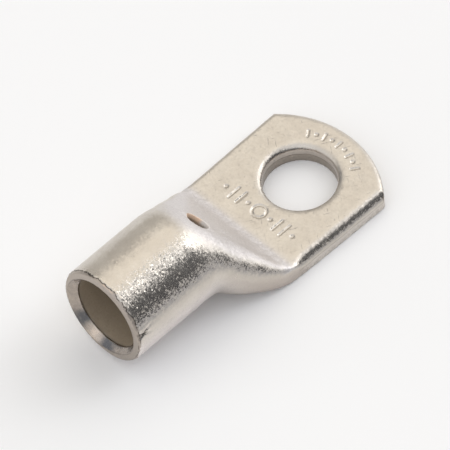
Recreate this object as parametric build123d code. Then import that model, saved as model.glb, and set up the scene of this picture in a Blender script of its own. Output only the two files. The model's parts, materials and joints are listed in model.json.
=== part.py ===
from build123d import *
import math
import os

# Tubular cable lug: one tube, flattened at one end into a palm with a stud hole.
# Millimetres. The origin is on the stud hole's axis, on the palm's contact face.
# X runs from the barrel's mouth to the palm's tip, and Z points away from the contact face.

# Palm
STUD_HOLE_DIAMETER = 8.4
PALM_WIDTH = 16.9          # across the stud hole
PALM_THICKNESS = 2.47
PALM_SPREAD = 0.86         # degrees that each long side opens out towards the tip
TIP_REACH = 8.0            # from the hole's axis to the tip
TIP_RADIUS = 12.3          # radius of the bowed end
TIP_CORNER_RADIUS = 0.7
TOP_EDGE_ROUND = 0.43      # rounded edge of the pressed face
CONTACT_EDGE_ROUND = 0.2
HOLE_TOP_ROUND = 0.42      # rim drawn in by the punch

# Barrel
BARREL_DIAMETER = 11.78
BORE_DIAMETER = 8.78
MOUTH_TO_HOLE = 30.14      # from the open end to the stud hole's axis
AXIS_HEIGHT = 6.7          # barrel axis above the contact face
MOUTH_BEVEL_DEPTH = 0.45
MOUTH_BEVEL_WIDTH = 0.21
MOUTH_LEAD_IN_DEPTH = 0.62
MOUTH_LEAD_IN_WIDTH = 0.52

# Pressed stretch between the barrel and the palm
SHOULDER_ANGLE = 52.3      # slope of the pressed face, in degrees
FOOT_TO_HOLE = 9.74        # from the slope's foot to the stud hole's axis
CREST_BLEND = 3.05         # height over which the barrel's top rolls into the slope
FOOT_BLEND = 1.39          # height over which the slope runs out into the palm
HIP_LENGTH = 7.45          # from where the sides start to swell to the slope's foot
HIP_FULLNESS = 1.8         # how early the sides swell
HIP_BLEND = 0.97           # length over which the swelling sets in
KEEL_START = 5.63          # the underside starts down to the contact face, before the foot
KEEL_END = 0.76            # and reaches it, before the foot
BELT_LEAD = 1.1            # the widest line starts down this far before the sides swell
BELT_LENGTH = 5.2          # and is down on the hips over this length
BELT_LOW = 0.335           # height of the widest line on the hips, as a share of the section
BELT_AT_PALM = 0.24
RIDGE_DELAY = 0.27         # share of the way down the slope where its side edges are still fully round
RIDGE_HASTE = 2.6          # how late they tighten after that
RIDGE_AT_FOOT = 1.17       # their radius at the foot
HEEL_LEAD = 0.33           # the lower corners fill out from this far before the sides swell
HEEL_LENGTH = 2.3          # and are full over this length
LOWER_FLATNESS = 2.15      # how fast the underside flattens as the section widens
LOWER_FULLNESS = 1.6       # how far the lower corners fill out
SQUAREST = 16              # exponent of the sharpest corners before the palm
CORNER_START = 0.8         # the corners start to square up, before the foot
CORNER_END = 1.3           # and are as square as the palm's, past the foot
SEAM_STEP = 0.01           # the pressed stretch ends this far inside its neighbours' outline
CAVITY_END_HEIGHT = 0.3    # gap left where the walls close on each other

# Inspection hole on the slope
INSPECTION_DIAMETER = 2.8
INSPECTION_TO_HOLE = 15.1  # from its centre to the stud hole's axis
INSPECTION_DEPTH = 3.2     # drilled this far in from the skin

# Resolution of the pressed stretch
STATIONS = 31
POINTS = 72
EVENNESS = 0.85            # share of each step along an outline that goes by length, the rest by angle
FINE_STEPS = 3600
SEARCH_STEP = 0.02
TRIES = 20
TINY = 1e-4

# Places that follow from the sizes
BARREL_RADIUS = BARREL_DIAMETER / 2
WALL = (BARREL_DIAMETER - BORE_DIAMETER) / 2
SLOPE = math.tan(math.radians(SHOULDER_ANGLE))
MOUTH_X = -MOUTH_TO_HOLE
FOOT_X = -FOOT_TO_HOLE
BARREL_TOP = AXIS_HEIGHT + BARREL_RADIUS
BARREL_BOTTOM = AXIS_HEIGHT - BARREL_RADIUS
CREST_X = FOOT_X - (BARREL_TOP + CREST_BLEND - PALM_THICKNESS) / SLOPE
PALM_X = FOOT_X + CORNER_END
SPREAD = math.tan(math.radians(PALM_SPREAD))


def ease(t):
    """Smooth rise from 0 to 1."""
    t = min(max(t, 0.0), 1.0)
    return t * t * (3 - 2 * t)


def mix(a, b, share):
    return a + (b - a) * share


def soft_min(a, b, blend):
    """The lower of two heights, rounded over where they cross."""
    share = min(max(0.5 + 0.5 * (b - a) / blend, 0.0), 1.0)
    return b + (a - b) * share - blend * share * (1 - share)


def soft_max(a, b, blend):
    return -soft_min(-a, -b, blend)


def corner_exponent(reach, radius):
    """Exponent that makes a superellipse's corner as tight as a rounded edge."""
    return math.log(0.5) / math.log(1 - (1 - math.sqrt(0.5)) * radius / reach)


def squaring(x):
    """How far the corners have squared up to the palm's, from 0 to 1."""
    return ease((x - FOOT_X + CORNER_START) / (CORNER_START + CORNER_END))


def palm_half_width(x):
    return PALM_WIDTH / 2 + SPREAD * x


def crown(x):
    """Height of the top: the barrel's top, the pressed slope, then the palm."""
    slope = PALM_THICKNESS + SLOPE * (FOOT_X - x)
    return soft_max(soft_min(slope, BARREL_TOP, CREST_BLEND), PALM_THICKNESS, FOOT_BLEND)


def keel(x):
    """Height of the underside: the barrel's bottom, then the contact face."""
    start = FOOT_X - KEEL_START
    end = FOOT_X - KEEL_END
    return BARREL_BOTTOM * (1 - ease((x - start) / (end - start)))


def half_width(x):
    """Half the width: the barrel's radius, then hips that swell to the palm's width."""
    swell = soft_max(x - FOOT_X + HIP_LENGTH, 0.0, HIP_BLEND)
    share = min(swell / HIP_LENGTH, 1.0)
    return BARREL_RADIUS + (palm_half_width(PALM_X) - BARREL_RADIUS) * (1 - (1 - share) ** HIP_FULLNESS)


def ridge_radius(x, full):
    """Radius of the slope's side edges: the whole round at the crest, tight at the foot."""
    pressed_share = (BARREL_TOP - crown(x)) / (BARREL_TOP - PALM_THICKNESS)
    tight = max((pressed_share - RIDGE_DELAY) / (1 - RIDGE_DELAY), 0.0) ** RIDGE_HASTE
    return mix(full, RIDGE_AT_FOOT, min(tight, 1.0))


def section(x, inset):
    """Closed outline of the tube at one station, set in from the outer skin."""
    top = crown(x) - inset
    bottom = keel(x) + inset
    width = half_width(x) - inset
    hip_share = ease((x - FOOT_X + HIP_LENGTH + BELT_LEAD) / BELT_LENGTH)
    heel_share = ease((x - FOOT_X + HIP_LENGTH + HEEL_LEAD) / HEEL_LENGTH)
    square = squaring(x)
    belt = mix(mix(0.5, BELT_LOW, hip_share), BELT_AT_PALM, square)
    belt_z = mix(bottom, top, belt)
    rise = top - belt_z
    drop = belt_z - bottom
    ridge = min(ridge_radius(x, min(rise, width)), rise)
    upper_y = min(corner_exponent(width, ridge), SQUAREST)
    upper_z = corner_exponent(rise, ridge)
    lower_y = min(2 + LOWER_FLATNESS * max(width / drop - 1, 0.0), SQUAREST)
    lower_z = 2 + LOWER_FULLNESS * heel_share
    upper_y = mix(upper_y, corner_exponent(width, TOP_EDGE_ROUND), square)
    upper_z = mix(upper_z, corner_exponent(rise, TOP_EDGE_ROUND), square)
    lower_y = mix(lower_y, corner_exponent(width, CONTACT_EDGE_ROUND), square)
    lower_z = mix(lower_z, corner_exponent(drop, CONTACT_EDGE_ROUND), square)

    def at(angle):
        side = math.cos(angle)
        lift = math.sin(angle)
        if lift >= 0:
            y = width * math.copysign(abs(side) ** (2 / upper_y), side)
            return y, belt_z + rise * lift ** (2 / upper_z)
        y = width * math.copysign(abs(side) ** (2 / lower_y), side)
        return y, belt_z - drop * (-lift) ** (2 / lower_z)

    angles = [math.pi / 2 + 2 * math.pi * i / FINE_STEPS for i in range(FINE_STEPS + 1)]
    fine = [at(angle) for angle in angles]
    lengths = [0.0]
    for (y0, z0), (y1, z1) in zip(fine, fine[1:]):
        lengths.append(lengths[-1] + math.hypot(y1 - y0, z1 - z0))
    travel = [mix(i / FINE_STEPS, lengths[i] / lengths[-1], EVENNESS) for i in range(FINE_STEPS + 1)]
    outline = []
    index = 0
    for i in range(POINTS):
        while travel[index + 1] < i / POINTS:
            index += 1
        share = (i / POINTS - travel[index]) / (travel[index + 1] - travel[index])
        y = mix(fine[index][0], fine[index + 1][0], share)
        z = mix(fine[index][1], fine[index + 1][1], share)
        outline.append((x, y, z))
    steps = [i / POINTS for i in range(POINTS + 1)]
    return Wire([Edge.make_spline(outline, periodic=True, parameters=steps)])


def pressed(start, end, inset):
    """Solid through the sections between two stations."""
    stations = [mix(start, end, i / (STATIONS - 1)) for i in range(STATIONS)]
    return Solid.make_loft([section(x, inset) for x in stations])


def free_edges(face):
    """Edges of a palm face, apart from the one that joins the pressed stretch."""
    return face.edges().filter_by(lambda edge: edge.center().X > PALM_X + TINY)


def palm():
    """Flat palm with a bowed tip, rounded edges and the stud hole."""
    corner_x = TIP_REACH - TIP_RADIUS
    for _ in range(TRIES):
        half = palm_half_width(corner_x)
        corner_x = TIP_REACH - TIP_RADIUS + math.sqrt(TIP_RADIUS ** 2 - half ** 2)
    back = palm_half_width(PALM_X)
    with BuildPart() as slab:
        with BuildSketch():
            with BuildLine():
                Polyline((corner_x, half), (PALM_X, back), (PALM_X, -back), (corner_x, -half))
                ThreePointArc((corner_x, -half), (TIP_REACH, 0), (corner_x, half))
            make_face()
            fillet(vertices().group_by(Axis.X)[-1], TIP_CORNER_RADIUS)
        extrude(amount=PALM_THICKNESS)
        fillet(free_edges(faces().sort_by(Axis.Z)[-1]), TOP_EDGE_ROUND)
        fillet(free_edges(faces().sort_by(Axis.Z)[0]), CONTACT_EDGE_ROUND)
        with Locations((0, 0, PALM_THICKNESS)):
            Hole(STUD_HOLE_DIAMETER / 2)
        circles = edges().filter_by(GeomType.CIRCLE)
        rims = circles.filter_by(lambda edge: abs(edge.radius - STUD_HOLE_DIAMETER / 2) < TINY)
        fillet(rims.sort_by(Axis.Z)[-1], HOLE_TOP_ROUND)
    return slab.part


def turned(profile):
    """Solid of revolution about the barrel's axis, from (distance past the mouth, radius) points."""
    points = [(MOUTH_X + along, AXIS_HEIGHT + radius) for along, radius in profile]
    face = Plane.XZ * make_face(Polyline(*points, close=True))
    return revolve(face, Axis((0, 0, AXIS_HEIGHT), (1, 0, 0)))


def barrel():
    length = CREST_X - MOUTH_X
    return turned([
        (0, 0),
        (0, BARREL_RADIUS - MOUTH_BEVEL_WIDTH),
        (MOUTH_BEVEL_DEPTH, BARREL_RADIUS),
        (length, BARREL_RADIUS),
        (length, 0),
    ])


def bore():
    length = CREST_X - MOUTH_X
    radius = BORE_DIAMETER / 2
    return turned([
        (0, 0),
        (0, radius + MOUTH_LEAD_IN_WIDTH),
        (MOUTH_LEAD_IN_DEPTH, radius),
        (length, radius),
        (length, 0),
    ])


def cavity_end():
    """Station where the two walls have almost met."""
    x = FOOT_X
    while crown(x) - keel(x) - 2 * WALL < CAVITY_END_HEIGHT:
        x -= SEARCH_STEP
    return x


def inspection_hole():
    x = -INSPECTION_TO_HOLE
    outward = Plane((x, 0, crown(x)), x_dir=(0, 1, 0), z_dir=(SLOPE, 0, 1))
    return outward * Cylinder(INSPECTION_DIAMETER / 2, 2 * INSPECTION_DEPTH)


skin = barrel() + pressed(CREST_X, PALM_X, SEAM_STEP) + palm()
hollow = bore() + pressed(CREST_X, cavity_end(), WALL + SEAM_STEP)
cable_lug = skin - hollow - inspection_hole()
cable_lug.label = "cable_lug"

os.makedirs("parts", exist_ok=True)
export_step(cable_lug, "parts/cable_lug.step")
print("barrel length", round(CREST_X - MOUTH_X, 3), "cavity ends at", round(cavity_end(), 3))
print("volume", round(cable_lug.volume, 2), "mm3")
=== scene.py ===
import functools
import json
import math
from types import SimpleNamespace

import bmesh
import bpy
import numpy as np
from mathutils import Matrix, Vector, noise
from mathutils.bvhtree import BVHTree


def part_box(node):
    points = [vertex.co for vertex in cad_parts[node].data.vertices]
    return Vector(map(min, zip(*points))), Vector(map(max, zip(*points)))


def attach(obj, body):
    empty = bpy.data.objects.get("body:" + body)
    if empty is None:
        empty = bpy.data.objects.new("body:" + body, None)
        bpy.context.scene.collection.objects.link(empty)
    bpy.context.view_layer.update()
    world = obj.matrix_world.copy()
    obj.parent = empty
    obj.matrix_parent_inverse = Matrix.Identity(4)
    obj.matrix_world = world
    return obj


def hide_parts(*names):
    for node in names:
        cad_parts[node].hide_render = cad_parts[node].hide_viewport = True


# Looks of a tinned copper cable lug: one skin laid on the CAD solid, with its grain, marks and burrs.
# The skin is worked out in millimetres, in the frame of the CAD part, and brought to metres at the end.

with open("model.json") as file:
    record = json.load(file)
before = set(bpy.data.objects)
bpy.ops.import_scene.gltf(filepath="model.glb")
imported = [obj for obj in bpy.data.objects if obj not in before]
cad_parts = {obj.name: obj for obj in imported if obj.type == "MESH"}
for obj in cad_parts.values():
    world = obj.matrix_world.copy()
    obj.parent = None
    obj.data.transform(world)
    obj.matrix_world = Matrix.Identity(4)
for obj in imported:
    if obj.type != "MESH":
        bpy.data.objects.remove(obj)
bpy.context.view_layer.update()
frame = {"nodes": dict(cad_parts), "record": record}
NODE = "cable_lug"
MM = 0.001

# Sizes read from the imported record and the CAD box
MOUNTS = {mount["name"]: mount for mount in frame["record"]["mounts"]}
LOW, HIGH = [np.array(corner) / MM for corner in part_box(NODE)]
HOLE_RADIUS = MOUNTS["stud_hole"]["dims"]["r_mm"]
BORE_RADIUS = MOUNTS["cable_bore"]["dims"]["r_mm"]
AXIS_HEIGHT = MOUNTS["cable_bore"]["pos_m"][2] / MM
PALM_TOP = MOUNTS["washer_face"]["pos_m"][2] / MM
BARREL_RADIUS = HIGH[2] - AXIS_HEIGHT
MOUTH_X = LOW[0]
TIP_X = HIGH[0]

# Places along the lug
CREST_X = -19.92           # the barrel's top starts to roll into the slope
FOOT_X = -9.74             # the slope's foot
PALM_X = -8.44             # the palm starts
CAVITY_END_X = -10.3       # the walls have closed on each other
SLOPE = math.radians(52.3)
INSPECTION = np.array((-15.1, 0.0, 9.4))
INSPECTION_RADIUS = 1.4
DRILL_AXIS = np.array((math.sin(SLOPE), 0, math.cos(SLOPE)))

# The skin's mesh
VOXEL = 0.19
MERGE_DISTANCE = 1e-4
SMOOTHING_ROUNDS = 12
SMOOTHING_STEPS = (0.5, -0.52)
HEIGHT_SLICE = 0.5                   # along the lug, where its middle height is read
WIDTH_SLICE = 0.25                   # along the lug, where its half width is read
TIP_ARC_LENGTH = 3.5                 # the half width isn't read nearer to the tip
INNER_WALL = -0.05                   # a normal that points out less than this is the cavity's
OUTER_WALL = 0.3                     # one that points out more than this is the barrel's outside

# How far the mesh is made finer: past the mouth, round the marks and the inspection hole, before the palm
RIM_DETAIL = 1.1
MARK_DETAIL = 0.2
INSPECTION_DETAIL = 0.4
EDGE_DETAIL = 1.0
NEAR_SURFACE = 0.1                   # the bore's wall and the palm's face count from this far inside
LEVEL_FACE = 0.98                    # a normal that points up or down more than this is a level face's

# Where the skin's facets are evened out
EVEN_START = (CREST_X - 0.5, CREST_X + 0.5)
EVEN_END = (PALM_X + 0.3, PALM_X + 1)
EVEN_PAST_MOUTH = (0.7, 1.2)
EVEN_PAST_HOLE = (0.1, 0.7)          # past the inspection hole's radius

# Unevenness of the metal, in layers: depth, size of its features and seed
TUBE_WAVES = ((0.016, 3.1, 1), (0.01, 0.9, 2))
PRESSED_WAVES = ((0.02, 2.4, 3), (0.01, 0.7, 4))
PALM_WAVES = ((0.006, 2.8, 5),)
FOOT_WAVES = ((0.055, 0.42, 6),)
BURR_WAVES = ((0.035, 0.9, 21), (0.02, 0.35, 22))
FOOT_SPREAD = 0.8
PALM_BLEND = (-0.3, 0.3)             # from where the palm starts
CREST_BLEND = (-1, 1)                # from the crest
TUBE_BLEND = (0.3, 1.2)              # past the cut
CONTACT_BLEND = (0.1, 0.6)           # above the contact face

# Mouth
MOUTH_TILT = math.radians(2.37)      # the cut leans back at the top
MOUTH_TURN = math.radians(0.62)
MOUTH_TILT_LENGTH = 3.0
LEAD_IN_RADIUS = BORE_RADIUS + 0.52
LEAD_IN_DEPTH = 0.62
LEAD_IN_EXTRA = 0.68                 # how much wider it was cut on the lower far side
LEAD_IN_FALL = 1.5                   # how fast the extra width falls off round the bore
LEAD_IN_SIDE = math.radians(-128)
# Painted reflections round the turned lead-in: a base lightness, then streaks, each degrees from the top
# towards +Y, half width, how much lighter
LEAD_IN_REFLECTION_BASE = 0.4
LEAD_IN_REFLECTION_STREAKS = ((95, 60, 0.22), (134, 12, -0.6), (161, 12, 0.45), (183, 13, -0.5), (-177, 13, -0.5))
BURR_SETBACK = 0.3                   # from the cut to the line where the plate starts
BURR_SPREAD = 0.3
BURR_SKIN = (-0.5, -0.2)             # from the barrel's outside, inwards
RIM_END = (0.6, 0.9)                 # past the cut
BORE_START = (0.75, 1.0)             # past the cut

# Small tear on the barrel's near side
TEAR_ANGLE = math.radians(77)        # from the top
TEAR_START = 0.9                     # from the cut to the tear's middle
TEAR_LENGTH = 0.85
TEAR_DEPTH = 0.2
TEAR_SKIN = (-0.5, -0.25)            # from the barrel's outside, inwards
TEAR_CRACKS = ((0.5, 0.14), (-0.35, 0.12))  # how far each leans sideways per length, half width

# Valleys on the pressed slope, from beside the inspection hole to the palm's corners.
# Each place is x and the distance from the lug's middle.
VALLEY_START = (-14.2, 1.2)
VALLEY_END = (-10.4, 5.6)
VALLEY_DEPTH = 0.09
VALLEY_WIDTH = 0.6
VALLEY_OUT, VALLEY_IN = 0.6, 0.8     # how far each end fades past its place and before it

# Pressed lip of the inspection hole
HOLE_DISH = 0.2
DISH_LEAN = 0.45                     # towards the near side
DISH_UPHILL_START = 0.1
DISH_SPREAD = (0.1, 1.1)             # past the hole's edge
DISH_BELOW = (0.5, 1.3)              # below the slope

# Rolled upper edges of the palm: width and depth of each
NEAR_ROLL = (1.3, 1.5)
FAR_ROLL = (0.6, 0.5)
TIP_ROLL = (0.8, 0.6)
HOLE_ROLL = (0.95, 0.7)
CAD_EDGE = 0.4                       # how far below its face the palm's outer walls are taken to end
CAD_RIM = 0.42                       # the same for the stud hole's wall
TIP_RADIUS = 12.3
ROLL_BLEND = (-1.3, 1.3)             # from where the palm starts
WALL_REACH = 0.04                    # a point nearer to the edge than this is on its wall

# Stamped marks: plain bars, dots and a ring
MARK_DEPTH = 0.14
MARK_EDGE = 0.1
MARK_FLOOR = -0.02                   # inside a mark's edge, where its full depth starts
MARK_LIP_HEIGHT = 0.3 * MARK_DEPTH
MARK_LIP_PLACE = MARK_EDGE + 0.08
MARK_LIP_WIDTH = 0.1
MARK_ROW_X = -6.3
MARK_STROKE = 0.2
BAR_HALF_LENGTH = 0.85
BAR_PLACES = (-3.9, -2.8, 2.8, 3.9)
DOT_PLACES = (-5.1, -1.7, 1.7, 5.1)
DOT_RADIUS = 0.2
RING_RADIUS = 0.82
TIP_ROW_RADIUS = 6.15
TIP_BAR_HALF_LENGTH = 0.42
TIP_BAR_ANGLES = tuple(math.radians(degrees) for degrees in (-36, -18, 0, 18, 36))
TIP_DOT_ANGLES = tuple(math.radians(degrees) for degrees in (-27, -9, 9, 27))

# Reaches of the shares that the material reads
GRAIN_LEAST = 0.18                   # away from the near side
GRAIN_UPRIGHT = 0.45                 # on the palm's near wall
GRAIN_CALM = 0.3                     # how much weaker it gets towards the crest
CALM_SPAN = (-4, 0)                  # from the crest
# Painted shade on the transition's flared sides rises and falls along the lug over these spans
HIP_RISE = (CREST_X + 1, CREST_X + 8)
HIP_FALL = (PALM_X, PALM_X + 2)
PRESSED_SPAN = (0, 4)                # from the crest
UNDERSIDE_LIGHT_CALM = 0.55                      # how much weaker the painted light on the underside gets past the crest
SLOPE_FADE = (0, 1.2)                # past the slope's foot
DRILLED_REACH = (0.02, 0.14)         # past the inspection hole's radius
DRILLED_DEPTH = (2.0, 2.4)           # from the slope, both ways along the drill
DRILLED_HEIGHT = (6.5, 7)            # above the contact face
DRILLED_SHADE_DEPTH = (0.3, 0.62)          # below the slope, where painted shade deep in the inspection hole starts and is full
# The bore seen through the inspection hole gets painted light out to these distances from the hole's middle
SEEN_THROUGH = (2 * INSPECTION_RADIUS, 3 * INSPECTION_RADIUS)
PALM_WALL_BLEND = (-0.5, 0.5)        # from where the palm starts
HOLE_WALL_REACH = 0.6                # past the stud hole's radius

# Camera, fitted to the photograph's outlines
IMAGE_WIDTH = 450
SENSOR_WIDTH = 36
FOCAL_LENGTH_PX = 9937.67
CAMERA_AZIMUTH = math.radians(-40.647)
CAMERA_ELEVATION = math.radians(52.858)
CAMERA_ROLL = math.radians(-5.456)
CAMERA_DISTANCE = 1.08435
CAMERA_TARGET = Vector((-0.011398, 0, 0.004927))
CAMERA_CLIP = (0.1, 10)


def ramp(value, start, end):
    """Smooth rise from 0 at start to 1 at end, for arrays."""
    t = np.clip((value - start) / (end - start), 0, 1)
    return t * t * (3 - 2 * t)


def ramp_past(value, place, span):
    """The same rise over a span that is measured from a place."""
    return ramp(value, place + span[0], place + span[1])


def band(value, rising, falling):
    """Rises over the first span and falls again over the second."""
    return ramp(value, *rising) * (1 - ramp(value, *falling))


def bump_at(value, centre, width):
    """Soft bump of height 1 round a value."""
    return np.exp(-((value - centre) / width) ** 2)


def noise_at(points, size, seed=0.0, octaves=2):
    """Smooth noise at each point, about -1 to 1, with features of that size."""
    offset = Vector((seed * 17.3, seed * -9.1, seed * 5.7))
    values = [noise.fractal(Vector(p) / size + offset, 1.0, 2.0, octaves) for p in points]
    return np.array(values)


def waves(points, layers):
    """Height of some layers of unevenness at each point."""
    return sum(depth * noise_at(points, size, seed) for depth, size, seed in layers)


def from_axis(y, z):
    """Distance from the barrel's axis."""
    return np.hypot(y, z - AXIS_HEIGHT)


def from_inspection(co):
    """Distance from the middle of the inspection hole."""
    return np.linalg.norm(co - INSPECTION, axis=1)


# Building the skin

def even_mesh(node, voxel):
    """The CAD node's shape as even small quads, in millimetres, and a search tree of the shape."""
    mesh = node.data.copy()
    mesh.transform(Matrix.Scale(1 / MM, 4))
    bm = bmesh.new()
    bm.from_mesh(mesh)
    bmesh.ops.remove_doubles(bm, verts=bm.verts, dist=MERGE_DISTANCE)
    bm.to_mesh(mesh)
    tree = BVHTree.FromBMesh(bm)
    bm.free()
    copy = bpy.data.objects.new("even_copy", mesh)
    bpy.context.scene.collection.objects.link(copy)
    remesh = copy.modifiers.new("even", "REMESH")
    remesh.mode = "VOXEL"
    remesh.voxel_size = voxel
    depsgraph = bpy.context.evaluated_depsgraph_get()
    even = bpy.data.meshes.new_from_object(copy.evaluated_get(depsgraph))
    bpy.data.objects.remove(copy)
    bpy.data.meshes.remove(mesh)
    snap(even, tree)
    return even, tree


def snap(mesh, tree):
    """Lays each vertex on the CAD surface."""
    for vertex in mesh.vertices:
        nearest = tree.find_nearest(vertex.co)[0]
        if nearest is not None:
            vertex.co = nearest


def positions(mesh):
    """Every vertex's place, as rows."""
    co = np.empty(len(mesh.vertices) * 3)
    mesh.vertices.foreach_get("co", co)
    return co.reshape(-1, 3)


def normals(mesh):
    """Every vertex's normal, as rows."""
    mesh.update()
    n = np.empty(len(mesh.vertices) * 3)
    mesh.vertex_normals.foreach_get("vector", n)
    return n.reshape(-1, 3)


def place(mesh, co):
    """Moves every vertex to its row's place."""
    mesh.vertices.foreach_set("co", co.ravel())
    mesh.update()


def smoothed(mesh, co, weight):
    """Evens out facets without shrinking: each round is one step in and one step out."""
    pairs = np.empty(len(mesh.edges) * 2, int)
    mesh.edges.foreach_get("vertices", pairs)
    a, b = pairs.reshape(-1, 2).T
    count = np.bincount(a, minlength=len(co)) + np.bincount(b, minlength=len(co))
    for _ in range(SMOOTHING_ROUNDS):
        for step in SMOOTHING_STEPS:
            total = np.stack([
                np.bincount(a, co[b, i], len(co)) + np.bincount(b, co[a, i], len(co)) for i in range(3)
            ], axis=1)
            co = co + (total / count[:, None] - co) * (step * weight)[:, None]
    return co


def slices(co, step):
    """Where each slice along the lug starts, and the slice that each point lies in."""
    starts = np.arange(LOW[0], HIGH[0] + step, step)
    index = np.clip(((co[:, 0] - LOW[0]) / step).astype(int), 0, len(starts) - 1)
    return starts, index


def middle_height(co):
    """Height halfway up the lug at each point's place along it."""
    starts, index = slices(co, HEIGHT_SLICE)
    top = np.full(len(starts), LOW[2])
    bottom = np.full(len(starts), HIGH[2])
    np.maximum.at(top, index, co[:, 2])
    np.minimum.at(bottom, index, co[:, 2])
    return np.interp(co[:, 0], starts + HEIGHT_SLICE / 2, (top + bottom) / 2)


def half_width(co):
    """Half the lug's width at each point's place along it."""
    starts, index = slices(co, WIDTH_SLICE)
    half = np.zeros(len(starts))
    np.maximum.at(half, index, np.abs(co[:, 1]))
    straight = starts < TIP_X - TIP_ARC_LENGTH
    return np.interp(co[:, 0], starts[straight] + WIDTH_SLICE / 2, half[straight])


def flat_below(co):
    """Keeps the underside on the contact face, with nothing below it."""
    moved = co.copy()
    moved[:, 2] = np.maximum(co[:, 2], LOW[2])
    return moved


class Regions:
    """Where each point of the skin lies, as shares from 0 to 1."""

    def __init__(self, co, normal):
        x, y, z = co.T
        self.x, self.y, self.z = x, y, z
        self.normal = normal
        lift = z - middle_height(co)
        outward = (normal[:, 1] * y + normal[:, 2] * lift) / np.maximum(np.hypot(y, lift), 1e-6)
        self.radius = from_axis(y, z)
        self.angle = np.arctan2(y, z - AXIS_HEIGHT)
        self.past_mouth = x - mouth_plane(y, z)
        self.inside = ((outward < INNER_WALL) & (x < CAVITY_END_X)).astype(float)
        self.outside = 1 - self.inside
        self.outer_barrel = ((outward > OUTER_WALL) & (x < CREST_X)).astype(float)
        self.hole = np.hypot(x, y)
        self.flat_top = ramp(normal[:, 2], 0.7, 0.95) * ramp_past(x, PALM_X, PALM_BLEND)
        self.foot = self.outside * bump_at(x, FOOT_X, FOOT_SPREAD) * ramp(normal[:, 2], 0.2, 0.4)
        self.above_contact = ramp_past(z, LOW[2], CONTACT_BLEND)


def mouth_plane(y, z):
    """Where the saw cut lies, which isn't quite square."""
    return MOUTH_X + math.tan(MOUTH_TURN) * y + math.tan(MOUTH_TILT) * (z - AXIS_HEIGHT)


def lean_mouth(co):
    """Leans the mouth to the saw cut, less and less further in."""
    x, y, z = co.T
    near = 1 - ramp(x, MOUTH_X, MOUTH_X + MOUTH_TILT_LENGTH)
    moved = co.copy()
    moved[:, 0] += (mouth_plane(y, z) - MOUTH_X) * near
    return moved


def lead_in_reach(y, z):
    """Radius of the lead-in's outer edge. It was cut off centre, so the rim is narrow on one side."""
    off = np.cos(np.arctan2(y, z - AXIS_HEIGHT) + LEAD_IN_SIDE)
    return LEAD_IN_RADIUS + LEAD_IN_EXTRA * np.clip(off, 0, 1) ** LEAD_IN_FALL


def painted_reflection_tone(degrees):
    """Painted reflection on the lead-in: how light it is at each angle round the bore."""
    streaks = [lighter * bump_at(degrees, middle, half) for middle, half, lighter in LEAD_IN_REFLECTION_STREAKS]
    return np.clip(LEAD_IN_REFLECTION_BASE + np.sum(streaks, axis=0), 0, 1)


def cut_lead_in(co):
    """Cuts the cone of the turned lead-in into the mouth."""
    x, y, z = co.T
    radius = from_axis(y, z)
    reach = lead_in_reach(y, z)
    cone = mouth_plane(y, z) + (reach - radius) * LEAD_IN_DEPTH / (reach - BORE_RADIUS)
    moved = co.copy()
    cut = (radius < reach) & (x < cone)
    moved[cut, 0] = cone[cut]
    return moved


def tear_share(y, z, past):
    """Two short cracks that meet in a V, on the barrel's skin beside the cut."""
    along = past - TEAR_START
    across = (np.arctan2(-y, z - AXIS_HEIGHT) - TEAR_ANGLE) * BARREL_RADIUS
    cracks = np.max([bump_at(across + lean * along, 0, half) for lean, half in TEAR_CRACKS], axis=0)
    on_skin = ramp_past(from_axis(y, z), BARREL_RADIUS, TEAR_SKIN)
    return cracks * bump_at(along, 0, TEAR_LENGTH) * on_skin


def rough_rim(co, normal):
    """Burrs along the cut's outer edge, and a small tear on the near side."""
    x, y, z = co.T
    past = x - mouth_plane(y, z)
    edge = bump_at(past, BURR_SETBACK, BURR_SPREAD) * ramp_past(from_axis(y, z), BARREL_RADIUS, BURR_SKIN)
    rise = edge * waves(co, BURR_WAVES) - TEAR_DEPTH * tear_share(y, z, past)
    return co + normal * rise[:, None]


def metal_waves(co, normal, where):
    """Slight unevenness of the drawn tube and of the pressed faces, fading out at the contact face."""
    tube = where.outer_barrel * ramp(where.past_mouth, *TUBE_BLEND)
    slope = (1 - where.outer_barrel) * ramp_past(where.x, CREST_X, CREST_BLEND) * where.outside
    parts = (
        (tube, TUBE_WAVES),
        (slope * (1 - where.flat_top), PRESSED_WAVES),
        (where.flat_top, PALM_WAVES),
        (where.foot, FOOT_WAVES),
    )
    rise = sum(share * waves(co, layers) for share, layers in parts)
    return co + normal * (rise * where.above_contact)[:, None]


def shoulder_valleys(co, normal, where):
    """Shallow valleys on the slope, one on each side."""
    run = np.subtract(VALLEY_END, VALLEY_START)
    length = math.hypot(*run)
    along_x, along_y = run / length
    dx = where.x - VALLEY_START[0]
    dy = np.abs(where.y) - VALLEY_START[1]
    along = dx * along_x + dy * along_y
    across = dy * along_x - dx * along_y
    ends = band(along, (-VALLEY_OUT, VALLEY_IN), (length - VALLEY_IN, length + VALLEY_OUT))
    share = bump_at(across, 0, VALLEY_WIDTH) * ends
    top = where.outside * ramp(normal[:, 2], 0.3, 0.5)
    return co - normal * (VALLEY_DEPTH * share * top)[:, None]


def from_drill(co):
    """Distance from the inspection hole's axis, and depth below the slope."""
    from_hole = co - INSPECTION
    below = -from_hole @ DRILL_AXIS
    return np.linalg.norm(from_hole + below[:, None] * DRILL_AXIS, axis=1), below


def dished_hole(co):
    """Presses in the uphill lip of the inspection hole, where the drill came in."""
    uphill = np.array((-math.cos(SLOPE), -DISH_LEAN, math.sin(SLOPE)))
    away, below = from_drill(co)
    side = ramp((co - INSPECTION) @ uphill, DISH_UPHILL_START, INSPECTION_RADIUS)
    share = side * (1 - ramp_past(away, INSPECTION_RADIUS, DISH_SPREAD))
    share *= 1 - ramp(below, *DISH_BELOW)
    return co - DRILL_AXIS * (HOLE_DISH * share)[:, None]


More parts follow.
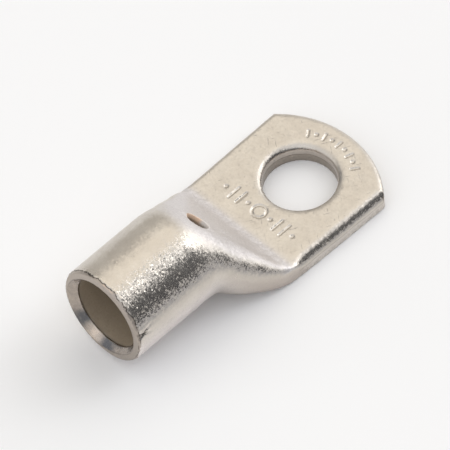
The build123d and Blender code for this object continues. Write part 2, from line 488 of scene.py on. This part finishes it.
def to_bar(x, y, middle, along, half_length):
    """Distance from a bar's middle line; along is the unit vector of its length."""
    dx, dy = x - middle[0], y - middle[1]
    down = dx * along[0] + dy * along[1]
    return np.hypot(np.maximum(np.abs(down) - half_length, 0), dy * along[0] - dx * along[1])


def to_marks(x, y):
    """Distance from the nearest mark's edge at each place of the palm's face."""
    bars = [to_bar(x, y, (MARK_ROW_X, place), (1, 0), BAR_HALF_LENGTH) for place in BAR_PLACES]
    dots = [np.hypot(x - MARK_ROW_X, y - place) for place in DOT_PLACES]
    for angle in TIP_BAR_ANGLES:
        along = (math.cos(angle), math.sin(angle))
        middle = (TIP_ROW_RADIUS * along[0], TIP_ROW_RADIUS * along[1])
        bars.append(to_bar(x, y, middle, along, TIP_BAR_HALF_LENGTH))
    for angle in TIP_DOT_ANGLES:
        dots.append(np.hypot(x - TIP_ROW_RADIUS * math.cos(angle), y - TIP_ROW_RADIUS * math.sin(angle)))
    bars.append(np.abs(np.hypot(x - MARK_ROW_X, y) - RING_RADIUS))
    return np.minimum(np.min(bars, axis=0) - MARK_STROKE / 2, np.min(dots, axis=0) - DOT_RADIUS)


def stamp_marks(co, where):
    """Presses the marks in, with a low raised lip round each."""
    away = to_marks(where.x, where.y)
    depth = MARK_DEPTH * (1 - ramp(away, MARK_FLOOR, MARK_EDGE))
    lip = MARK_LIP_HEIGHT * bump_at(away, MARK_LIP_PLACE, MARK_LIP_WIDTH)
    moved = co.copy()
    moved[:, 2] += where.flat_top * (lip - depth)
    return moved


def rolled(co):
    """Rolls the palm's upper edges over further than the CAD's small rounds, near, far, tip and hole."""
    x, y, z = co.T
    half = half_width(co)
    tip = TIP_RADIUS - np.hypot(x - (TIP_X - TIP_RADIUS), y)
    hole = np.hypot(x, y) - HOLE_RADIUS
    edges = (
        (half + y, NEAR_ROLL, CAD_EDGE), (half - y, FAR_ROLL, CAD_EDGE),
        (tip, TIP_ROLL, CAD_EDGE), (hole, HOLE_ROLL, CAD_RIM),
    )
    moved = co.copy()
    for away, (width, depth), cad_round in edges:
        height = moved[:, 2]
        wall_top = PALM_TOP - cad_round
        share = np.clip(away / width, 0, 1)
        drop = depth * (1 - np.sqrt(1 - (1 - share) ** 2))
        squeezed = z * (PALM_TOP - depth) / wall_top
        limit = np.where(z > wall_top, PALM_TOP - drop, np.inf)
        limit = np.where((away < WALL_REACH) & (z < wall_top), squeezed, limit)
        moved[:, 2] += (np.minimum(height, limit) - height) * ramp_past(x, PALM_X, ROLL_BLEND)
    return moved


def wants_detail(co, normal):
    """Places where the mesh is made twice as fine."""
    x, y, z = co.T
    rim = (x < MOUTH_X + RIM_DETAIL) & (from_axis(y, z) > BORE_RADIUS - NEAR_SURFACE)
    marks = (to_marks(x, y) < MARK_EDGE + MARK_DETAIL) & (z > PALM_TOP - NEAR_SURFACE)
    inspection = from_inspection(co) < INSPECTION_RADIUS + INSPECTION_DETAIL
    edges = (x > PALM_X - EDGE_DETAIL) & (np.abs(normal[:, 2]) < LEVEL_FACE) & (z > PALM_TOP / 2)
    return rim | marks | inspection | edges


def refine(mesh, tree):
    """Cuts the edges in the detailed places in half, on the CAD surface."""
    wanted = wants_detail(positions(mesh), normals(mesh))
    bm = bmesh.new()
    bm.from_mesh(mesh)
    bm.verts.ensure_lookup_table()
    edges = [e for e in bm.edges if wanted[e.verts[0].index] and wanted[e.verts[1].index]]
    bmesh.ops.subdivide_edges(bm, edges=edges, cuts=1, use_grid_fill=True)
    bm.to_mesh(mesh)
    bm.free()
    snap(mesh, tree)


def evened(mesh, co):
    """Smooths the barrel and the pressed shoulder, but not the inspection hole's edge."""
    where = Regions(co, normals(mesh))
    pressed = band(where.x, EVEN_START, EVEN_END)
    barrel = where.outer_barrel * ramp_past(where.x, MOUTH_X, EVEN_PAST_MOUTH)
    clear = ramp_past(from_inspection(co), INSPECTION_RADIUS, EVEN_PAST_HOLE)
    return smoothed(mesh, co, np.maximum(pressed, barrel) * clear)


def shaped(co, normal):
    """Gives the skin each form that the CAD solid doesn't have."""
    where = Regions(co, normal)
    co = metal_waves(co, normal, where)
    co = dished_hole(shoulder_valleys(co, normal, where))
    co = rolled(stamp_marks(co, where))
    co = cut_lead_in(lean_mouth(co))
    return flat_below(rough_rim(co, normal))


def build_skin():
    """The lug's visible skin, in metres, with its material."""
    mesh, tree = even_mesh(frame["nodes"][NODE], VOXEL)
    refine(mesh, tree)
    co = evened(mesh, positions(mesh))
    place(mesh, co)
    co = shaped(co, normals(mesh))
    place(mesh, co)
    store_shares(mesh, co)
    mesh.transform(Matrix.Scale(MM, 4))
    for polygon in mesh.polygons:
        polygon.use_smooth = True
    mesh.materials.clear()
    mesh.materials.append(tin_material())
    skin = bpy.data.objects.new("lug_skin", mesh)
    bpy.context.scene.collection.objects.link(skin)
    return skin


def plate_shares(where):
    """Where the plate is grained, pressed, or turned sideways or down, and where painted shade and painted
    light go on it.
    """
    near, up = -where.normal[:, 1], where.normal[:, 2]
    side = band(near, (0.1, 0.42), (0.88, 0.97)) * ramp(up, -0.1, 0.15)
    upright_side = ramp(near, 0.9, 0.98) * ramp(where.x, PALM_X - 2, PALM_X)
    grain = np.maximum(GRAIN_LEAST + (1 - GRAIN_LEAST) * side, GRAIN_UPRIGHT * upright_side)
    grain = grain * (1 - GRAIN_CALM * ramp_past(where.x, CREST_X, CALM_SPAN))
    before_foot = 1 - ramp_past(where.x, FOOT_X, SLOPE_FADE)
    slope = where.outside * ramp(where.normal[:, 0], 0.25, 0.6) * before_foot
    hip = band(where.x, HIP_RISE, HIP_FALL)
    past_crest = ramp_past(where.x, CREST_X, PRESSED_SPAN)
    return {
        "grain": where.outside * grain * (1 - where.flat_top),
        # Painted shade: the band of the barrel's near side that faces halfway up
        "shaded": where.outside * bump_at(up, 0.43, 0.15) * ramp(near, 0.3, 0.6),
        # Painted shade on the transition's flared sides, where they face sideways or down
        "hip": where.outside * hip * band(-up, (-0.35, 0.1), (0.5, 0.8)),
        # Painted light: the underside, where it faces down
        "low": where.outside * ramp(-up, -0.3, 0.25) * (1 - UNDERSIDE_LIGHT_CALM * past_crest),
        "slope": np.maximum(slope, where.foot),
    }


def mouth_shares(where):
    """Where the bore, the bare rim, the turned lead-in and the tear are, and the lead-in's painted
    reflection.
    """
    rim = 1 - ramp(where.past_mouth, *RIM_END)
    return {
        "inside": where.inside * ramp(where.past_mouth, *BORE_START),
        "rim": rim,
        "lead_in": (where.radius < lead_in_reach(where.y, where.z) + 0.02) * rim,
        "lead_in_tone": painted_reflection_tone(np.degrees(where.angle)),
        "tear": tear_share(where.y, where.z, where.past_mouth),
    }


def drilled_shares(co, where):
    """Where the inspection hole's wall and the bore seen through it get painted light, and where painted
    shade goes deep in that hole.
    """
    away, below = from_drill(co)
    in_wall = 1 - ramp(np.abs(below), *DRILLED_DEPTH)
    near_hole = in_wall * (1 - ramp_past(away, INSPECTION_RADIUS, DRILLED_REACH))
    seen_through = 1 - ramp(from_inspection(co), *SEEN_THROUGH)
    return {
        # Painted light on the inspection hole's wall and on the bore seen through it
        "drilled": np.maximum(near_hole * ramp(where.z, *DRILLED_HEIGHT), where.inside * seen_through),
        # Painted shade deep in the inspection hole
        "drilled_deep": near_hole * ramp(below, *DRILLED_SHADE_DEPTH),
    }


def palm_edge_shares(where):
    """Where the stud hole's wall and the palm's outer sides are."""
    upright = 1 - ramp(np.abs(where.normal[:, 2]), 0.35, 0.75)
    upright = upright * ramp_past(where.x, PALM_X, PALM_WALL_BLEND)
    near_hole = where.hole < HOLE_RADIUS + HOLE_WALL_REACH
    return {"wall": upright * near_hole, "side": upright * ~near_hole}


def store_shares(mesh, co):
    """Stores the shares on the vertices, where the material reads them by name."""
    where = Regions(co, normals(mesh))
    shares = {
        **plate_shares(where), **mouth_shares(where),
        **drilled_shares(co, where), **palm_edge_shares(where),
    }
    for name, values in shares.items():
        layer = mesh.attributes.new(name, "FLOAT", "POINT")
        layer.data.foreach_set("value", np.asarray(values, np.float32))


# Materials

TIN = (0.612, 0.563, 0.502, 1)
TIN_LIGHT = (0.655, 0.608, 0.545, 1)
TIN_SPECK = (0.53, 0.49, 0.42, 1)
# Darker grey: painted shade on the barrel's near side, and dark specks underneath
PAINTED_SHADE_AND_SPECKS = (0.36, 0.34, 0.33, 1)
# Painted shade on the transition's flared sides
HIP_PAINTED_SHADE = (0.50, 0.438, 0.39, 1)
SLOPE_TIN = (0.765, 0.735, 0.727, 1)
SLOPE_SHADE = (0.645, 0.615, 0.613, 1)
# Paler: painted light on the underside
UNDERSIDE_PAINTED_LIGHT = (0.86, 0.795, 0.76, 1)
# Painted reflections on the turned lead-in, light and dark, with the tool marks mixed in
LEAD_IN_LIGHT_REFLECTION = (0.68, 0.58, 0.49, 1)
LEAD_IN_DARK_REFLECTION = (0.13, 0.13, 0.135, 1)
CUT_TIN = (0.465, 0.41, 0.36, 1)
DULL_BORE = (0.46, 0.385, 0.29, 1)
PUNCHED = (0.50, 0.445, 0.395, 1)
PUNCHED_LOW = (0.35, 0.305, 0.26, 1)
BARE_COPPER = (0.92, 0.68, 0.50, 1)
# Pale and matt: painted light on the inspection hole's wall and the bore seen through it
DRILLED_PAINTED_LIGHT = (0.82, 0.78, 0.75, 1)
# Painted shade deep in the inspection hole
DRILLED_PAINTED_SHADE = (0.20, 0.15, 0.11, 1)
DIRT = (0.10, 0.085, 0.07, 1)
FLOOR_WHITE = (0.97, 0.97, 0.97, 1)

# Roughness of each surface, and how metallic the dull ones are
PLATE_ROUGHNESS = (0.30, 0.37)       # varies between these in patches
GRAIN_ROUGHNESS = 0.21
SLOPE_ROUGHNESS = 0.5
RIM_ROUGHNESS = 0.24
CUT_ROUGHNESS = 0.4
TURNED_ROUGHNESS = 0.25
BORE_ROUGHNESS = 0.6
BORE_METALLIC = 0.45
DRILLED_METALLIC = 0.1
FLOOR_ROUGHNESS = 0.9
FLOOR_SPECULAR = 0.2

# Fine relief that only the material has, in millimetres
PLATE_RELIEF = 0.006
GRAIN_RELIEF = 0.04
STREAK_RELIEF = 0.024
CUT_RELIEF = 0.02
SCRATCH_RELIEF = 0.03

# Crystal faces: size in millimetres, tilt, further tilt of the few that sparkle, seed
BARREL_FACETS = {"size": 0.13, "tilt": 0.15, "sparkle": 0.25, "seed": 5.3}
PLATE_FACETS = {"size": 0.19, "tilt": 0.115, "sparkle": 0.10, "seed": 9.1}
FACET_WOBBLE = 0.8                   # size of the wobble in their outlines, as a share of theirs
SPARKLING = (0.78, 0.9)              # of the faces' random numbers, from 0 to 1

# Lines that the material draws, in millimetres
BURR_WANDER = 0.9                    # how far the ragged line at the mouth wanders in all
DARK_LINE = 0.085
LOWER_LINE = 0.06
BARE_LINE = 0.05
BARE_PLACE = -0.16                   # from the dark line
SEAM_LINE = 0.06
SEAM_WANDER = 0.3
SEAM_HEIGHT = PALM_TOP * 0.42        # where the tube's two walls meet in the palm
SEAM_BLEND = (PALM_TOP * 0.4, PALM_TOP * 0.44)
TOOL_MARK_TONE = 0.5                 # from the lead-in's darkest tool marks to the lightest

# Numbers stored on the skin, which the material reads
SHARES = (
    "grain", "shaded", "hip", "low", "slope", "inside", "rim", "lead_in", "lead_in_tone", "tear",
    "drilled", "drilled_deep", "wall", "side",
)

# Sockets of the Mix node: the two inputs and the result, for numbers and for colours
MIX_NUMBERS = (2, 3, 0)
MIX_COLOURS = (6, 7, 2)


class Value:
    """A number in a node tree, with plain arithmetic."""

    def __init__(self, shades, socket):
        self.shades = shades
        self.socket = socket

    def done(self, operation, other=0.0):
        """The outcome of one operation on this number and another."""
        node = self.shades.nodes.new("ShaderNodeMath")
        node.operation = operation
        self.shades.set(node.inputs[0], self)
        self.shades.set(node.inputs[1], other)
        return Value(self.shades, node.outputs[0])

    def __add__(self, other):
        return self.done("ADD", other)

    def __sub__(self, other):
        return self.done("SUBTRACT", other)

    def __mul__(self, other):
        return self.done("MULTIPLY", other)

    def __truediv__(self, other):
        return self.done("DIVIDE", other)

    def max(self, other):
        return self.done("MAXIMUM", other)

    def size(self):
        return self.done("ABSOLUTE")

    def root(self):
        return self.done("SQRT")

    def rise(self, low, high):
        """0 below low, 1 above high, soft between; high may be the lower of the two."""
        node = self.shades.nodes.new("ShaderNodeMapRange")
        node.interpolation_type = "SMOOTHSTEP"
        ends = (low, high, 0.0, 1.0) if low < high else (high, low, 1.0, 0.0)
        self.shades.set(node.inputs["Value"], self)
        for name, number in zip(("From Min", "From Max", "To Min", "To Max"), ends):
            node.inputs[name].default_value = number
        return Value(self.shades, node.outputs["Result"])

    def round_zero(self, spread):
        """A number from 0 to 1 spread evenly over both sides of 0."""
        return self * spread - spread / 2

    def near(self, centre, width):
        """1 at the centre, 0 further off than the width."""
        return (self - centre).size().rise(width, width * 0.4)


class Shades:
    """Builds one metal's node tree step by step; lengths are in millimetres."""

    def __init__(self, name):
        self.material = bpy.data.materials.new(name)
        self.material.use_nodes = True
        self.nodes = self.material.node_tree.nodes
        self.links = self.material.node_tree.links
        self.shader = self.nodes["Principled BSDF"]
        self.shader.inputs["Metallic"].default_value = 1.0
        self.place = self.nodes.new("ShaderNodeTexCoord").outputs["Object"]

    def set(self, socket, value):
        """Puts a number or colour on a socket, or joins another node's output to it."""
        value = value.socket if isinstance(value, Value) else value
        if isinstance(value, bpy.types.NodeSocket):
            self.links.new(value, socket)
        else:
            socket.default_value = value

    def share(self, name):
        """A number stored on the skin's vertices."""
        node = self.nodes.new("ShaderNodeAttribute")
        node.attribute_name = name
        return Value(self, node.outputs["Fac"])

    def axes(self):
        """Each point's place along the three axes."""
        node = self.nodes.new("ShaderNodeSeparateXYZ")
        self.links.new(self.place, node.inputs[0])
        return [Value(self, output) / MM for output in node.outputs]

    def noise(self, size, detail=2, roughness=0.5, stretch=(1, 1, 1), turn=(0, 0, 0), seed=0.0):
        """Noise with features of that size, 0 to 1; stretch lengthens them along each turned axis."""
        turned = self.nodes.new("ShaderNodeMapping")
        turned.inputs["Rotation"].default_value = turn
        mapping = self.nodes.new("ShaderNodeMapping")
        mapping.inputs["Location"].default_value = (seed, seed, seed)
        mapping.inputs["Scale"].default_value = [1 / (size * MM * s) for s in stretch]
        self.links.new(self.place, turned.inputs["Vector"])
        self.links.new(turned.outputs["Vector"], mapping.inputs["Vector"])
        node = self.nodes.new("ShaderNodeTexNoise")
        node.inputs["Scale"].default_value = 1
        node.inputs["Detail"].default_value = detail
        node.inputs["Roughness"].default_value = roughness
        self.links.new(mapping.outputs["Vector"], node.inputs["Vector"])
        return Value(self, node.outputs["Fac"])

    def mixed(self, kind, sockets, share, a, b):
        """The result of a Mix node of one kind."""
        node = self.nodes.new("ShaderNodeMix")
        node.data_type = kind
        first, second, result = sockets
        self.set(node.inputs["Factor"], share)
        self.set(node.inputs[first], a)
        self.set(node.inputs[second], b)
        return node.outputs[result]

    def mix(self, share, a, b):
        """Colour a where share is 0, b where it is 1."""
        return self.mixed("RGBA", MIX_COLOURS, share, a, b)

    def blend(self, share, a, b):
        """Number a where share is 0, b where it is 1."""
        return Value(self, self.mixed("FLOAT", MIX_NUMBERS, share, a, b))

    def painted(self, colour, coats):
        """A colour with coats laid over it in turn, each a share and the coat's colour."""
        for share, coat in coats:
            colour = self.mix(share, colour, coat)
        return colour

    def facets(self, share, normal, size, tilt, sparkle, seed):
        """Small crystal faces, each turned at random; a few are turned much further and sparkle."""
        wobble = self.noise(size * FACET_WOBBLE, detail=1, seed=seed + 3)
        shifted = self.vector("MULTIPLY_ADD", self.place, (1 / (size * MM),) * 3, (seed, seed, seed))
        shifted = self.vector("ADD", shifted, wobble)
        cells = self.nodes.new("ShaderNodeTexVoronoi")
        cells.inputs["Scale"].default_value = 1
        self.links.new(shifted, cells.inputs["Vector"])
        dice = self.nodes.new("ShaderNodeTexWhiteNoise")
        self.links.new(cells.outputs["Color"], dice.inputs["Vector"])
        rare = Value(self, dice.outputs["Value"]).rise(*SPARKLING)
        amount = (rare * sparkle + tilt) * share
        turned = self.vector("SUBTRACT", cells.outputs["Color"], (0.5, 0.5, 0.5))
        turned = self.vector("SCALE", turned, amount)
        return self.vector("NORMALIZE", self.vector("ADD", normal, turned))

    def vector(self, operation, a, *others):
        """The outcome of one vector operation."""
        node = self.nodes.new("ShaderNodeVectorMath")
        node.operation = operation
        self.set(node.inputs[0], a)
        if operation == "SCALE":
            self.set(node.inputs["Scale"], others[0])
            return node.outputs[0]
        for socket, value in zip(node.inputs[1:], others):
            self.set(socket, value)
        return node.outputs[0]

    def bump(self, height, depth, strength=1.0, below=None):
        """Relief of that depth, on top of the relief below."""
        node = self.nodes.new("ShaderNodeBump")
        node.inputs["Distance"].default_value = depth * MM
        self.set(node.inputs["Strength"], strength)
        self.set(node.inputs["Height"], height)
        if below is not None:
            self.links.new(below, node.inputs["Normal"])
        return node.outputs["Normal"]


def scratch_share(m, turn, seed):
    """Sparse fine scratches in one direction."""
    lines = m.noise(0.11, detail=1, stretch=(14, 1, 1), turn=(0, 0, turn), seed=seed).rise(0.69, 0.74)
    return lines * m.noise(1.7, seed=seed + 7).rise(0.5, 0.62)


def burr_lines(m, x, y, z):
    """Dark ragged line where the plate ends at the cut, and a bare thread beside it: (cut, dark, bare)."""
    lift = z - AXIS_HEIGHT
    past = x - (y * math.tan(MOUTH_TURN) + lift * math.tan(MOUTH_TILT) + MOUTH_X)
    radius = (y * y + lift * lift).root()
    outer = radius.rise(BARREL_RADIUS - 0.4, BARREL_RADIUS - 0.25)
    ragged = m.noise(1.1, detail=4, roughness=0.6, seed=31).round_zero(BURR_WANDER)
    setback = past - ragged - BURR_SETBACK
    face = radius.rise(LEAD_IN_RADIUS, LEAD_IN_RADIUS + 0.05)
    cut = setback.rise(0.03, -0.03) * face
    upper = lift.rise(-0.5, 1.0)
    breaks = m.noise(0.5, seed=33).rise(0.28, 0.4)
    on_lower = lift.rise(1.0, -0.5) * past.rise(0.35, 0.25)
    lower = radius.near(BARREL_RADIUS - 0.2, LOWER_LINE) * on_lower * m.noise(0.3, seed=35).rise(0.4, 0.5)
    dark = (setback.near(0, DARK_LINE) * outer * upper * breaks).max(lower * 0.8)
    bare = setback.near(BARE_PLACE, BARE_LINE) * outer * y.near(-0.9, 1.1) * lift.rise(4, 5)
    return cut, dark, bare


def plate_masks(m):
    """The stored shares by name, each point's place, and the lines drawn with them."""
    k = SimpleNamespace(**{name: m.share(name) for name in SHARES})
    k.x, k.y, k.z = m.axes()
    k.cut, k.dark_line, k.bare_line = burr_lines(m, k.x, k.y, k.z)
    k.bare_cut = k.cut * k.rim
    on_palm = k.z.near(PALM_TOP, 0.15) * k.x.rise(PALM_X - 0.5, PALM_X + 0.5)
    k.scratches = scratch_share(m, 0.5, 41).max(scratch_share(m, -0.9, 43)) * on_palm
    k.seam_height = k.z - m.noise(2.0, seed=51) * SEAM_WANDER
    k.seam = k.seam_height.near(SEAM_HEIGHT, SEAM_LINE) * k.wall.max(k.side * 0.7)
    return k


def tin_colour(m, k):
    """Cream plate with soft clouds and specks, darker with painted shade on the barrel's near side and the
    flared sides past the crest, and paler with painted light below.
    """
    cloud = m.noise(2.2, detail=3, seed=3).rise(0.35, 0.65)
    specks = m.noise(0.22, detail=2, seed=71).rise(0.4, 0.75)
    blotch = m.noise(0.35, detail=3, roughness=0.6, seed=81).rise(0.3, 0.6)
    low_specks = m.noise(0.2, detail=3, roughness=0.7, seed=91).rise(0.5, 0.72)
    mottle = m.noise(0.22, detail=4, roughness=0.7, seed=87).rise(0.3, 0.7)
    return m.painted(m.mix(cloud, TIN, TIN_LIGHT), (
        (specks * 0.35, TIN_SPECK),
        # Painted shade on the barrel's near side, blotchy
        (k.shaded * (blotch * 0.5 + 0.45), PAINTED_SHADE_AND_SPECKS),
        # Painted light on the underside
        (k.low * 0.95, UNDERSIDE_PAINTED_LIGHT),
        # Painted shade on the transition's flared sides
        (k.hip * 0.85, HIP_PAINTED_SHADE),
        (low_specks * k.low.rise(0.05, 0.4) * 0.32, PAINTED_SHADE_AND_SPECKS),
        (k.slope * 0.9, m.mix(mottle, SLOPE_TIN, SLOPE_SHADE)),
    ))


def worked_colour(m, k, tin):
    """The plate's colour, and over it those of the cut, punched, bored and turned places, with painted
    light on the inspection hole's wall and the bore seen through it, painted shade deep in that hole, and
    painted reflections on the lead-in.
    """
    tool_marks = m.noise(0.5, detail=2, seed=73).round_zero(TOOL_MARK_TONE)
    return m.painted(tin, (
        (k.bare_cut, CUT_TIN),
        (k.wall * 0.9, m.mix(k.seam_height.rise(*SEAM_BLEND), PUNCHED_LOW, PUNCHED)),
        (k.inside, DULL_BORE),
        # Painted light in the inspection hole, pale on one side and copper on the other
        (k.drilled, m.mix(k.y.rise(0.1, 0.7), DRILLED_PAINTED_LIGHT, BARE_COPPER)),
        # Painted shade deep in the inspection hole
        (k.drilled_deep * 0.8, DRILLED_PAINTED_SHADE),
        (k.bare_line * 0.5, BARE_COPPER),
        # Painted reflections on the lead-in, with tool marks
        (k.lead_in, m.mix(k.lead_in_tone + tool_marks, LEAD_IN_DARK_REFLECTION, LEAD_IN_LIGHT_REFLECTION)),
    ))


def dirt_share(m, k):
    """Dark lines, dirt, and specks that get darker towards the bottom of the palm's sides: the strongest of
    them at each point.
    """
    specks = m.noise(0.16, detail=1, seed=61).rise(0.66, 0.72) * k.grain.rise(0.4, 0.9)
    dust = m.noise(0.13, detail=1, seed=67).rise(0.70, 0.76)
    lead_in_edge = k.lead_in * (k.lead_in * -1.0 + 1.0) * 4.0
    # Specks that get darker towards the bottom of the palm's sides
    bottom_darkening = m.noise(0.3, detail=3, roughness=0.6, seed=83).rise(0.42, 0.65) * k.z.rise(1.3, 0.1) * k.side
    return functools.reduce(Value.max, (
        k.scratches * 0.55,
        k.seam * 0.6,
        specks * 0.45,
        k.dark_line * 0.9,
        dust * 0.22,
        k.tear.rise(0.3, 0.75) * 0.8,
        lead_in_edge * m.noise(0.8, seed=93).rise(0.25, 0.5) * 0.4,
        bottom_darkening * 0.4,
    ))


def plate_roughness(m, k):
    """Roughness of the plate, and over it that of each other surface in turn."""
    patch = m.noise(0.7, detail=2, seed=5).rise(0.3, 0.7)
    roughness = m.blend(patch, *PLATE_ROUGHNESS)
    surfaces = (
        (k.grain, GRAIN_ROUGHNESS), (k.slope, SLOPE_ROUGHNESS), (k.rim, RIM_ROUGHNESS),
        (k.bare_cut, CUT_ROUGHNESS), (k.lead_in, TURNED_ROUGHNESS),
        (k.inside.max(k.drilled), BORE_ROUGHNESS),
    )
    for share, value in surfaces:
        roughness = m.blend(share, roughness, value)
    return roughness


def plate_relief(m, k):
    """Fine relief, layer on layer, and the crystal faces on top."""
    layers = (
        (m.noise(0.14, detail=3, roughness=0.65), PLATE_RELIEF, 1.0),
        (m.noise(0.45, detail=3, roughness=0.6, seed=11), GRAIN_RELIEF, k.grain),
        (m.noise(0.22, detail=2, stretch=(9, 1, 9), turn=(0, SLOPE, 0), seed=17), STREAK_RELIEF, k.slope),
        (m.noise(0.3, detail=3, seed=19), CUT_RELIEF, k.bare_cut),
        (k.scratches.max(k.seam) * -1.0, SCRATCH_RELIEF, 0.6),
    )
    relief = None
    for height, depth, strength in layers:
        relief = m.bump(height, depth, strength, below=relief)
    relief = m.facets(k.grain, relief, **BARREL_FACETS)
    return m.facets(1.0, relief, **PLATE_FACETS)


def tin_material():
    """Matt tin plate: cream and finely grained, coarse and sparkling on the barrel's side."""
    m = Shades("tin_plate")
    k = plate_masks(m)
    clean = worked_colour(m, k, tin_colour(m, k))
    metallic = m.blend(k.drilled, m.blend(k.inside, 1.0, BORE_METALLIC), DRILLED_METALLIC)
    m.set(m.shader.inputs["Base Color"], m.mix(dirt_share(m, k), clean, DIRT))
    m.set(m.shader.inputs["Roughness"], plate_roughness(m, k))
    m.set(m.shader.inputs["Metallic"], metallic)
    m.set(m.shader.inputs["Normal"], plate_relief(m, k))
    return m.material


def floor_material():
    """Plain matt white."""
    material = bpy.data.materials.new("white_floor")
    material.use_nodes = True
    shader = material.node_tree.nodes["Principled BSDF"]
    shader.inputs["Base Color"].default_value = FLOOR_WHITE
    shader.inputs["Roughness"].default_value = FLOOR_ROUGHNESS
    shader.inputs["Specular IOR Level"].default_value = FLOOR_SPECULAR
    return material


# Studio

FLOOR_SIZE = 4
ROOM_LIGHT = (0.97, 0.985, 1.02)
# Soft cards round the lug: azimuth (0 towards +X, 90 towards +Y) and elevation of the middle,
# degrees from the middle to where the card is full and to where it ends, and its light.
CARDS = (
    (75, 30, 25, 75, (1.0, 0.965, 0.915)),
    (35, 62, 10, 34, (1.27, 1.21, 1.11)),
    (62, 18, 10, 32, (0.60, 0.58, 0.55)),
    (-36, 14, 8, 20, (1.85, 1.86, 1.88)),
    (-3, 17, 8, 22, (2.0, 2.0, 2.0)),
    (-26, 42, 9, 17.5, (2.9, 2.92, 2.98)),
    (-74, 13, 20, 50, (0.112, 0.115, 0.125)),
    (-131, 8, 10, 30, (0.12, 0.13, 0.15)),
    (103, 18, 9, 24, (0.25, 0.26, 0.28)),
)


def add_card(tree, direction, light, card):
    """Lays one card over the light that comes from each direction."""
    azimuth, elevation, full, end, colour = card
    a, e = math.radians(azimuth), math.radians(elevation)
    towards = tree.nodes.new("ShaderNodeVectorMath")
    towards.operation = "DOT_PRODUCT"
    towards.inputs[1].default_value = (math.cos(a) * math.cos(e), math.sin(a) * math.cos(e), math.sin(e))
    tree.links.new(direction, towards.inputs[0])
    share = tree.nodes.new("ShaderNodeMapRange")
    share.interpolation_type = "SMOOTHSTEP"
    share.inputs["From Min"].default_value = math.cos(math.radians(end))
    share.inputs["From Max"].default_value = math.cos(math.radians(full))
    tree.links.new(towards.outputs["Value"], share.inputs["Value"])
    mixed = tree.nodes.new("ShaderNodeMix")
    mixed.data_type = "RGBA"
    first, second, result = MIX_COLOURS
    tree.links.new(share.outputs["Result"], mixed.inputs["Factor"])
    tree.links.new(light, mixed.inputs[first])
    mixed.inputs[second].default_value = (*colour, 1)
    return mixed.outputs[result]


def set_world():
    """Plain studio light from all round, with a few soft cards."""
    world = bpy.data.worlds.new("studio")
    bpy.context.scene.world = world
    world.use_nodes = True
    tree = world.node_tree
    direction = tree.nodes.new("ShaderNodeTexCoord").outputs["Generated"]
    light = tree.nodes.new("ShaderNodeRGB").outputs[0]
    light.default_value = (*ROOM_LIGHT, 1)
    for card in CARDS:
        light = add_card(tree, direction, light, card)
    tree.links.new(light, tree.nodes["Background"].inputs["Color"])


def add_floor():
    """The floor that the lug lies on."""
    bpy.ops.mesh.primitive_plane_add(size=FLOOR_SIZE, location=(0, 0, LOW[2] * MM))
    floor = bpy.context.object
    floor.name = "floor"
    floor.data.materials.append(floor_material())


def add_camera():
    """The camera at the photograph's angle."""
    a, e = CAMERA_AZIMUTH, CAMERA_ELEVATION
    back = Vector((math.sin(a) * math.cos(e), -math.cos(a) * math.cos(e), math.sin(e)))
    right = Vector((math.cos(a), math.sin(a), 0))
    up = back.cross(right)
    turned_right = right * math.cos(CAMERA_ROLL) + up * math.sin(CAMERA_ROLL)
    turned_up = up * math.cos(CAMERA_ROLL) - right * math.sin(CAMERA_ROLL)
    data = bpy.data.cameras.new("camera")
    data.sensor_width = SENSOR_WIDTH
    data.lens = FOCAL_LENGTH_PX / IMAGE_WIDTH * SENSOR_WIDTH
    data.clip_start, data.clip_end = CAMERA_CLIP
    camera = bpy.data.objects.new("camera", data)
    bpy.context.scene.collection.objects.link(camera)
    turn = Matrix((turned_right, turned_up, back)).transposed()
    camera.matrix_world = Matrix.Translation(CAMERA_TARGET + back * CAMERA_DISTANCE) @ turn.to_4x4()
    bpy.context.scene.camera = camera


skin = build_skin()
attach(skin, "root")
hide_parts(NODE)

add_floor()
set_world()
add_camera()
bpy.context.scene.view_settings.view_transform = "Standard"
